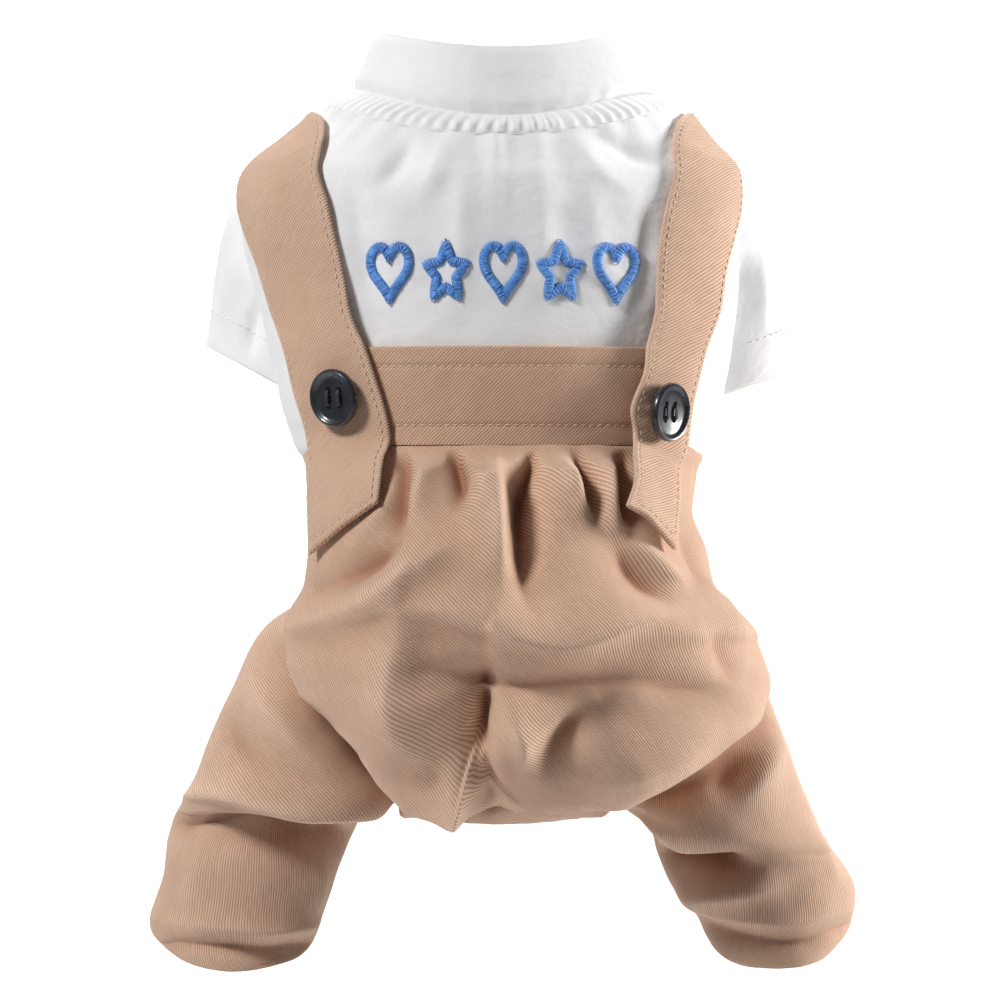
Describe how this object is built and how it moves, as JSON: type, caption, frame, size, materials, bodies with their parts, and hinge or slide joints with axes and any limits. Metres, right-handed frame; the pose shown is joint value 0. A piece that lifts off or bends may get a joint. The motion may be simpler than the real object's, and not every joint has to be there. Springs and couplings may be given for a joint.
{
  "type": "dog jumpsuit",
  "caption": "Jumpsuit for a small dog: a white short-sleeved shirt joined to baggy twill trousers with shoulder straps and buttons.",
  "frame": {"origin": "middle of the neck seam's ring, where the collar meets the shirt", "axes": "+Z along the trunk towards the neck, -Y out of the dog's back where the buttons are, +X to the right of someone looking at the back"},
  "size_m": [0.2234, 0.1533, 0.2933],
  "materials": {
    "white_cotton": "matt plain weave",
    "sand_twill": "matt diagonal twill",
    "black_button": "gloss",
    "blue_thread": "satin stitch"
  },
  "bodies": {
    "root": {"collar": "white_cotton", "neck_casing": "white_cotton", "shirt_body": "white_cotton", "sleeve_left": "white_cotton", "sleeve_right": "white_cotton", "stitched_heart_0": "blue_thread", "stitched_star_1": "blue_thread", "stitched_heart_2": "blue_thread", "stitched_star_3": "blue_thread", "stitched_heart_4": "blue_thread", "waist_band": "sand_twill", "trousers_seat": "sand_twill", "tail_casing": "sand_twill", "leg_left": "sand_twill", "leg_right": "sand_twill", "strap_left": "sand_twill", "strap_right": "sand_twill", "button_left": "black_button", "button_right": "black_button"}
  },
  "joints": []
}
